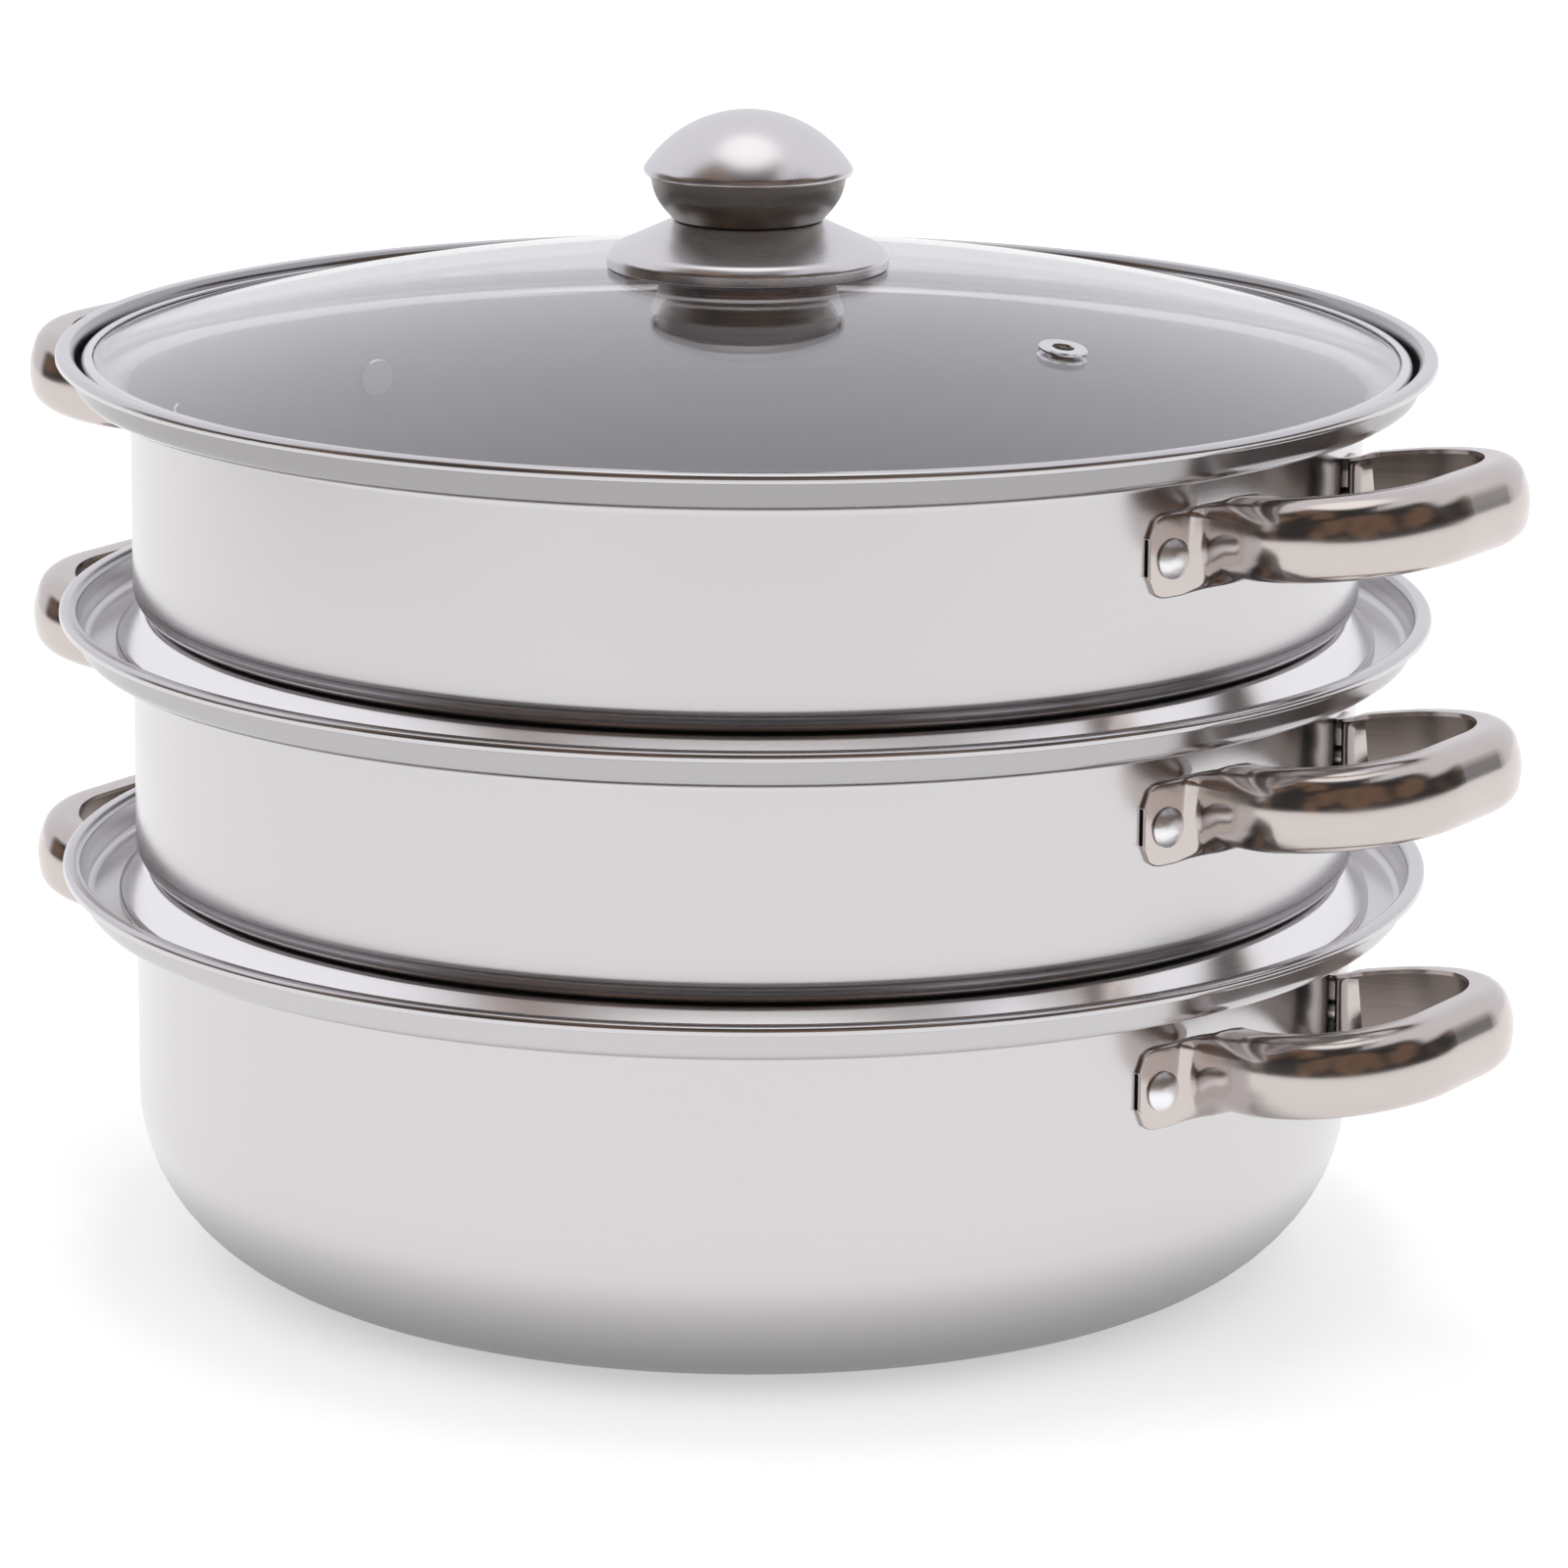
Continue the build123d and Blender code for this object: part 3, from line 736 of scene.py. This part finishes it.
def liner_points(lip):
    """A strip 0.8 mm thick along the handle's line."""
    section = np.array([(liner_back, liner_half), (liner_front, liner_half),
                        (liner_front, -liner_half), (liner_back, -liner_half)])
    points = swept(section, from_end > liner_start, lip - loop_level, tilt)
    return kept_outside(points, foot_skin + rivet_gap)


# %% [markdown]
# A rivet is a domed head on the foot, a shank and a flat tail inside the wall. It is turned about its own
# axis, which stands square to the wall at its azimuth.

# %% Rivets
rivet_half_pitch, rivet_level = 40, 27.4  # from the handle's middle, and below the lip
tail_radius, head_radius, shank_radius = 4.6, 4.4, 2.5
tail_height, head_height, dome_rise = 1.2, 2.4, 1.9


def ball_radius(radius, rise):
    """Radius of the ball whose cap has this radius r and rise h: (r r + h h) / (2 h)."""
    return (radius**2 + rise**2) / (2 * rise)


def ball_arc(ball, top, angles):
    """Points on a ball whose top is at a height, at angles from its axis."""
    return np.column_stack([ball * np.sin(angles), top - ball + ball * np.cos(angles)])


def rivet_arrays(lip, azimuth):
    """A rivet's closed profile turned about the outward way (cos a, sin a, 0) at its azimuth a."""
    head = foot_skin + rivet_gap
    tail = math.sqrt((wall - sheet) ** 2 - tail_radius**2) - rivet_gap
    end = tail - tail_height
    ball = ball_radius(head_radius, dome_rise)
    angles = math.asin(head_radius / ball) * np.linspace(0, 1, 12)[::-1]
    profile = np.vstack([
        [[0, end], [tail_radius - 0.3, end], [tail_radius, end + 0.3], [tail_radius, tail - 0.2],
         [tail_radius - 0.2, tail], [shank_radius, tail], [shank_radius, head], [head_radius - 0.15, head],
         [head_radius, head + 0.15], [head_radius, head + 0.4]],
        ball_arc(ball, head + head_height, angles),
    ])
    points, quads, triangles = turned_arrays(profile, steps=40)
    outward = np.array([math.cos(azimuth), math.sin(azimuth), 0])
    aside = np.array([-math.sin(azimuth), math.cos(azimuth), 0])
    upward = np.array([0, 0, 1.0])
    placed = points[:, :1] * aside + points[:, 1:2] * upward + points[:, 2:] * outward
    return placed + upward * (lip - rivet_level), quads, triangles


def rivet_pair(lip):
    """Both rivets of a handle as one set of points, quads and triangles."""
    azimuth = math.asin(rivet_half_pitch / wall)
    first, quads, ends = rivet_arrays(lip, -azimuth)
    second = rivet_arrays(lip, azimuth)[0]
    shift = len(first)
    return np.vstack([first, second]), np.vstack([quads, quads + shift]), np.vstack([ends, ends + shift])


# %% [markdown]
# A strip is brushed along its length before it is bent, so its hairlines run round the loop. Object
# coordinates can't follow that, and the strip gets its own UV map of the distance along and across. A second,
# soft noise makes the clouds that hand polishing leaves. Rivets are pressed from wire, and are bright but
# slightly uneven.

# %% Materials of the handles
def strip_steel(name, colour, roughness):
    """Satin sheet brushed along its length."""
    material, tree, surface = new_material(name)
    along, across, _ = split(add_node(tree, "ShaderNodeUVMap", {"uv_map": "run"}))
    hair = noise(tree, joined(tree, along * 8, across * 700, 0.0), 1.0, detail=3.0, roughness=0.6)
    cloud = noise(tree, place_of(tree), 60.0)
    finish(tree, surface, {
        "Base Color": tinted(tree, colour, (hair - 0.5) * 0.08 + 1.0 + (cloud - 0.5) * 0.06),
        "Metallic": 1.0,
        "Roughness": (hair - 0.5) * 0.12 + (cloud - 0.5) * 0.06 + roughness,
        "Normal": bump(tree, hair, 0.00002),
    })
    return material


def pressed_metal(name, colour, roughness, depth):
    """Bright metal with a faint unevenness, so many metres deep."""
    material, tree, surface = new_material(name)
    grain = noise(tree, place_of(tree), 400.0)
    finish(tree, surface, {
        "Base Color": tinted(tree, colour, (grain - 0.5) * 0.06 + 1.0),
        "Metallic": 1.0,
        "Roughness": (grain - 0.5) * 0.06 + roughness,
        "Normal": bump(tree, grain, depth, strength=0.4),
    })
    return material


handle_steel = strip_steel("handle_steel", (0.61, 0.555, 0.53), 0.17)
# Painted shade: the liner is coloured dark for the shade and dim reflections inside the handle's loop
liner_steel = strip_steel("liner_steel", (0.26, 0.22, 0.20), 0.25)
rivet_steel = pressed_metal("rivet_steel", (0.92, 0.92, 0.94), 0.36, 0.0003)

# %% Place the handles
for vessel, lip in lips.items():
    strap, liner, (rivets, rivet_quads, rivet_ends) = strap_points(lip), liner_points(lip), rivet_pair(lip)
    liner_run = np.arange(len(liner)) * step_along
    for side_name, side in (("right", 1), ("left", -1)):
        base = f"{vessel}_handle_{side_name}"
        piece = solid(f"{base}_strap", handed(strap, side), tube_faces(*strap.shape[:2]), crease=50)
        uv_from(piece, handle_run[:, None], channel[:, 1])
        dress(piece, vessel, handle_steel, "handle_steel", f"{base}_shell")
        piece = solid(f"{base}_strip", handed(liner, side), tube_faces(*liner.shape[:2]))
        uv_from(piece, liner_run[:, None], liner[..., 2])
        dress(piece, vessel, liner_steel, "handle_steel", f"{base}_liner")
        piece = solid(f"{base}_domes", handed(rivets, side), rivet_quads, rivet_ends)
        dress(piece, vessel, rivet_steel, "rivet_steel", f"{base}_rivets")
print("handles:", 2 * len(lips))

# %% [markdown]
# ## The lid
#
# The glass is a shallow dome: two arcs about one centre, 4 mm apart, joined by a rounded edge. The rolled
# band round that edge and each piece of the knob are turned sheet like the vessels, so they come from the
# same two helpers.

# %% Sizes of the lid
seat, apex = 203.1, 230.0
band_lip, band_top = 148.4, seat + 6.7
ball = ball_radius(band_lip, 20.9)
glass_edge, glass_thickness, glass_round = 149.9, 4.0, 1.2
bore = 4.2  # radius of the hole for the knob's screw
print("the glass is part of a ball of radius", round(ball), "mm")


def dome_height(radius, lower=0.0):
    """Height of the glass's upper face at a radius, or of a face that lies lower by so much."""
    return apex - ball + np.sqrt((ball - lower) ** 2 - np.asarray(radius) ** 2)


# %% Glass and band
radii = np.linspace(bore, glass_edge - glass_round, 60)
top_face = np.column_stack([radii, dome_height(radii)])
under_face = np.column_stack([radii, dome_height(radii, glass_thickness)])
top_z, under_z = top_face[-1, 1], under_face[-1, 1]
edge_angle = np.radians(np.linspace(90, -90, 9)[1:-1])
rounded = np.column_stack([
    glass_edge - glass_round + glass_round * np.cos(edge_angle),
    (top_z + under_z) / 2 + (top_z - under_z) / 2 * np.sin(edge_angle),
])
glass_profile = np.vstack([top_face, rounded, under_face[::-1]])
band_line = bent_line(
    [(146.6, seat), (151, seat), (151, band_top), (band_lip, band_top)], [1.5, 1.5], arc_step=12
)
band_profile = sheet_loop(band_line, 0.6, rounding=0.2)

# %% [markdown]
# The knob is a stack on one screw. From the glass up come a rubber seal, a plastic sleeve in a steel skirt,
# a cup and a domed cap. Under the glass a second seal and a shallow steel washer spread the screw's pull.
# Each is drawn as a short list of corners, a radius and a height for each.

# %% Knob and its fixing
neck = apex + 9.7
cup_rim = neck + 11.2
skirt_radius, skirt_hem = 32.0, 2.6
skirt_edge = float(dome_height(skirt_radius)) + 0.1 + skirt_hem
skirt_line = bent_line(
    [(bore, neck), (17, neck), (30.8, skirt_edge + 1.6), (skirt_radius, skirt_edge),
     (skirt_radius, skirt_edge - skirt_hem)],
    [1.2, 3.0, 1.5], arc_step=6,
)
cup_line = bent_line(
    [(bore, neck), (16.8, neck), (21.4, neck + 5.2), (22.4, cup_rim)], [2.0, 12.0], arc_step=6
)

cap_radius, cap_rise, cap_sheet = 23.7, 13.0, 1
cap_edge = cup_rim - 0.6
cap_top = cap_edge + 1.3 + cap_rise
cap_ball, cap_inner = ball_radius(cap_radius, cap_rise), cap_radius - cap_sheet
inner_ball = cap_ball - cap_sheet
cap_profile = np.vstack([
    ball_arc(cap_ball, cap_top, np.linspace(0, math.asin(cap_radius / cap_ball), 40)),
    [[cap_radius, cap_edge + 0.3], [23.4, cap_edge], [22.9, cap_edge], [cap_inner, cap_edge + 0.2]],
    ball_arc(inner_ball, cap_top - cap_sheet, np.linspace(math.asin(cap_inner / inner_ball), 0, 30)),
])

seal_radius, washer_sheet = 11.0, 0.8
gasket_top = float(dome_height(seal_radius, glass_thickness))
washer_top = gasket_top - 1.0
washer_line = bent_line([(3.0, washer_top), (19.0, washer_top), (22.0, washer_top - 8.3)], [2.0], arc_step=10)
screw_seat, nut_seat = washer_top - washer_sheet, neck + 1.0
screw_profile = [
    (0, screw_seat - 3.0), (5.0, screw_seat - 3.0), (5.6, screw_seat - 2.4), (5.6, screw_seat),
    (2.9, screw_seat), (2.9, nut_seat + 6.6), (2.5, nut_seat + 7.0), (0, nut_seat + 7.0),
]
print("the knob's top is at", round(cap_top, 1), "mm")


def ring_profile(bottom, top, outer, edge=0.25):
    """A seal's or sleeve's section round the screw, with broken outer edges."""
    return [(bore, bottom), (outer - edge, bottom), (outer, bottom + edge), (outer, top - edge),
            (outer - edge, top), (bore, top)]


# %% [markdown]
# Steam leaves through one small hole, lined with a rolled steel eyelet. It is turned about its own axis,
# which stands square to the glass, and its heights are counted from the glass's upper face.

# %% Vent eyelet
vent_turn, vent_way = math.asin(95.0 / ball), math.radians(-10.5)
vent_out = np.array([math.sin(vent_turn) * math.cos(vent_way), math.sin(vent_turn) * math.sin(vent_way),
                     math.cos(vent_turn)])
vent_side = np.array([-math.sin(vent_way), math.cos(vent_way), 0.0])
vent_up = np.cross(vent_out, vent_side)
eyelet_profile = [
    (2.3, -4.7), (2.6, -5.0), (5.2, -5.0), (5.5, -4.7), (5.5, -4.4), (5.2, -4.1), (3.4, -4.1), (3.4, 0.05),
    (5.3, 0.05), (5.5, 0.25), (5.45, 0.6), (5.1, 0.95), (2.9, 0.95), (2.5, 0.85), (2.3, 0.5),
]
points, quads, _ = turned_arrays(eyelet_profile, steps=64)
vent_centre = np.array([0, 0, apex - ball]) + vent_out * ball
eyelet = solid("eyelet", points @ np.array([vent_side, vent_up, vent_out]) + vent_centre, quads)
print("the eyelet is at", vent_centre.round(1))


# %% [markdown]
# Tempered glass isn't quite flat: its faces wave by some micrometres, which makes the reflections in it
# wander a little. A soft bump does the same. Moulded rubber and plastic are dark with a fine matte grain.

# %% Glass, rubber and plastic
def clear_glass(name):
    material, tree, surface = new_material(name)
    wave = noise(tree, place_of(tree), 16.0, detail=0.0)
    finish(tree, surface, {
        "Base Color": (0.99, 0.985, 1.0), "Roughness": 0.0, "IOR": 1.5, "Transmission Weight": 1.0,
        "Normal": bump(tree, wave, 0.00003),
    })
    return material


def matte(name, colour, roughness):
    material, tree, surface = new_material(name)
    grain = noise(tree, place_of(tree), 700.0)
    finish(tree, surface, {
        "Base Color": tinted(tree, colour, (grain - 0.5) * 0.2 + 1.0),
        "Roughness": (grain - 0.5) * 0.1 + roughness,
    })
    return material


glass = clear_glass("lid_glass_clear")
knob_steel = turned_steel("knob_steel", (0.72, 0.70, 0.71), 0.27, rings=0.04)
# Painted shade: the cup under the cap and the washer under the glass are coloured dark for the dark room they
# mirror
bowl_steel = turned_steel("bowl_steel", (0.33, 0.31, 0.29), 0.28, rings=0.04)
band_steel = turned_steel("band_steel", (0.74, 0.73, 0.74), 0.2)
rubber = matte("rubber", (0.05, 0.05, 0.05), 0.6)
plastic = matte("plastic", (0.04, 0.04, 0.04), 0.5)

# %% Place the lid
dress(turned("lid_dome", glass_profile, crease=50), "lid", glass, "glass", "lid_glass")
dress(turned("lid_band", band_profile), "lid", band_steel, "bright_steel", "lid_rim_band")
dress(eyelet, "lid", band_steel, "bright_steel", "vent_eyelet")
knob_pieces = [
    # piece, profile, faces round the axis, material, slot, CAD node
    ("knob_top", cap_profile, 128, knob_steel, "bright_steel", "knob_cap"),
    ("knob_bowl", sheet_loop(cup_line, 1.0), 128, bowl_steel, "bright_steel", "knob_cup"),
    ("knob_base", sheet_loop(skirt_line, -1.0), 128, knob_steel, "bright_steel", "knob_skirt"),
    ("knob_seal", ring_profile(apex, apex + 1.0, 15.0), 96, rubber, "silicone", "knob_gasket"),
    ("knob_sleeve", ring_profile(apex + 1.0, neck - 1.0, 12.0), 96, plastic, "spacer_plastic", "knob_spacer"),
    ("glass_seal", ring_profile(washer_top, gasket_top, seal_radius), 96, rubber, "silicone", "screw_gasket"),
    ("glass_cup", sheet_loop(washer_line, -washer_sheet), 128, bowl_steel, "bright_steel", "screw_washer"),
    ("fixing_screw", screw_profile, 64, band_steel, "bright_steel", "knob_screw"),
]
for name, profile, steps, material, slot, node in knob_pieces:
    dress(turned(name, profile, steps), "lid", material, slot, node)

# The nut is hidden in the cup and its CAD shape is right, so it only gets a better material
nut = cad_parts["knob_nut"]
nut_steel = pressed_metal("nut_steel", (0.55, 0.54, 0.53), 0.35, 0.00005)
for slot in nut.material_slots:
    slot.material = nut_steel
print("lid pieces:", 3 + len(knob_pieces), "and the nut, with material slots:", len(nut.material_slots))

# %% [markdown]
# ## The studio
#
# Steel needs something to mirror. Here that is a pale sweep all round, which is dim towards the camera and
# in a low band at the sides. The dim part draws the dark streaks on the polished handles.
#
# The floor is white paper. It ends to the left of the object and in front of it, so that low reflections see
# the dim room past its edges. For the camera it glows a little of its own, which keeps it pale and leaves
# the object's soft shadow. For mirror rays a shadow is painted into its glow near the pot, where the object
# stands over it.

# %% Floor
left_edge, front_edge, far_edge = 1.5, 2.4, 8
floor_outline = np.array([(-left_edge, -front_edge), (far_edge, -front_edge), (far_edge, far_edge),
                          (-left_edge, far_edge)])
turn = np.array([[math.cos(around), -math.sin(around)], [math.sin(around), math.cos(around)]])
floor_mesh = bpy.data.meshes.new("floor")
floor_mesh.from_pydata([(*p, 0.0) for p in (floor_outline @ turn.T).tolist()], [], [(0, 1, 2, 3)])
floor_piece = bpy.data.objects.new("floor", floor_mesh)
bpy.context.scene.collection.objects.link(floor_piece)
paper, tree, surface = new_material("floor_paper")


def paper_shader(albedo, glow):
    """Paper that scatters so much of the light and adds a glow of its own."""
    lit = add_node(tree, "ShaderNodeBsdfDiffuse", None, {"Color": (albedo, albedo, albedo)})
    own = add_node(tree, "ShaderNodeEmission", None, {"Color": glow, "Strength": 1.0})
    return add_node(tree, "ShaderNodeAddShader", None, {0: lit, 1: own})


# Painted shadow: for mirror rays the glow is dark within 0.11 m of the axis and pale past 0.175 m
open_floor = cylinder_maps(tree)[2].between(0.11, 0.175)
mirrored_paper = paper_shader(0.15, blend(tree, open_floor, (0.3, 0.3, 0.3), (0.93, 0.925, 0.93)))
seen_paper = paper_shader(0.8, (0.41, 0.41, 0.41))
camera_ray = add_node(tree, "ShaderNodeLightPath", output="Is Camera Ray")
either_paper = {0: camera_ray, 1: mirrored_paper, 2: seen_paper}
plug(tree, surface, add_node(tree, "ShaderNodeMixShader", None, either_paper))
floor_mesh.materials.append(paper)
print("the floor ends", left_edge, "m to the left and", front_edge, "m to the front")

# %% [markdown]
# The world's colour for mirror rays is a map of the ray's direction: front is how far it points to the
# camera, side to the right-hand handles and z up. The camera and the soft light see plain white. A noise
# breaks the dim part into grey and brown patches, as furniture in a real room would.

# %% World
world = bpy.data.worlds.new("studio")
bpy.context.scene.world = world
world.use_nodes = True
tree = world.node_tree
tree.nodes.clear()
way = add_node(tree, "ShaderNodeTexCoord")  # a world's first coordinate is the ray's direction
x, y, z = split(way)
front = x * math.sin(around) - y * math.cos(around)
side = x * math.cos(around) + y * math.sin(around)
overhead = z.between(0.9, 0.96)
right_box = side.between(0.3, 0.5) * z.between(0.66, 0.8)
ahead_or_aside = front * 0.85 + side.math("ABSOLUTE") * 0.53
low_band = ahead_or_aside.between(-0.05, 0.15) * (1 - z.between(0.25, 0.45))
dark_front = ahead_or_aside.between(0.1, 0.25) * front.between(0.0, 0.15) * (1 - overhead) * (1 - right_box)
dim = dark_front.math("MAXIMUM", low_band) * z.between(-0.24, -0.16)
patches = noise(tree, way, 2.2, detail=1.0).between(0.48, 0.6)
dusk = blend(tree, patches, (0.035, 0.033, 0.033), (0.22, 0.14, 0.095))
bright = blend(tree, overhead, (0.95, 0.95, 1.0), (1.5, 1.5, 1.5))
glossy_ray = add_node(tree, "ShaderNodeLightPath", output="Is Glossy Ray")
camera_ray = add_node(tree, "ShaderNodeLightPath", output="Is Camera Ray")
plain = blend(tree, camera_ray, (1.0, 1.0, 1.0), (1.12, 1.12, 1.12))
seen = blend(tree, glossy_ray, plain, blend(tree, dim, bright, dusk))
back = add_node(tree, "ShaderNodeBackground", None, {"Color": seen, "Strength": 0.9})
plug(tree, tree.nodes.new("ShaderNodeOutputWorld").inputs[0], back)

# %% Overhead lamp
# A square soft box that faces the stack. It is hidden from mirror rays, for which the world has a box of its
# own, and from rays through the glass
soft_box = bpy.data.lights.new("overhead_box", "AREA")
soft_box.size, soft_box.energy = 0.6, 7.0
place, target = Vector((-0.05, 0.08, 1.6)), Vector((0, 0, 0.1))
lamp = bpy.data.objects.new("overhead_box", soft_box)
lamp.location = place
lamp.rotation_euler = (target - place).to_track_quat("-Z", "Y").to_euler()
lamp.visible_glossy = False
lamp.visible_transmission = False
bpy.context.scene.collection.objects.link(lamp)
bpy.context.scene.view_settings.view_transform = "Standard"  # shows a colour as it is written
print("lamp:", soft_box.energy, "W, from", round((target - place).length, 2), "m")
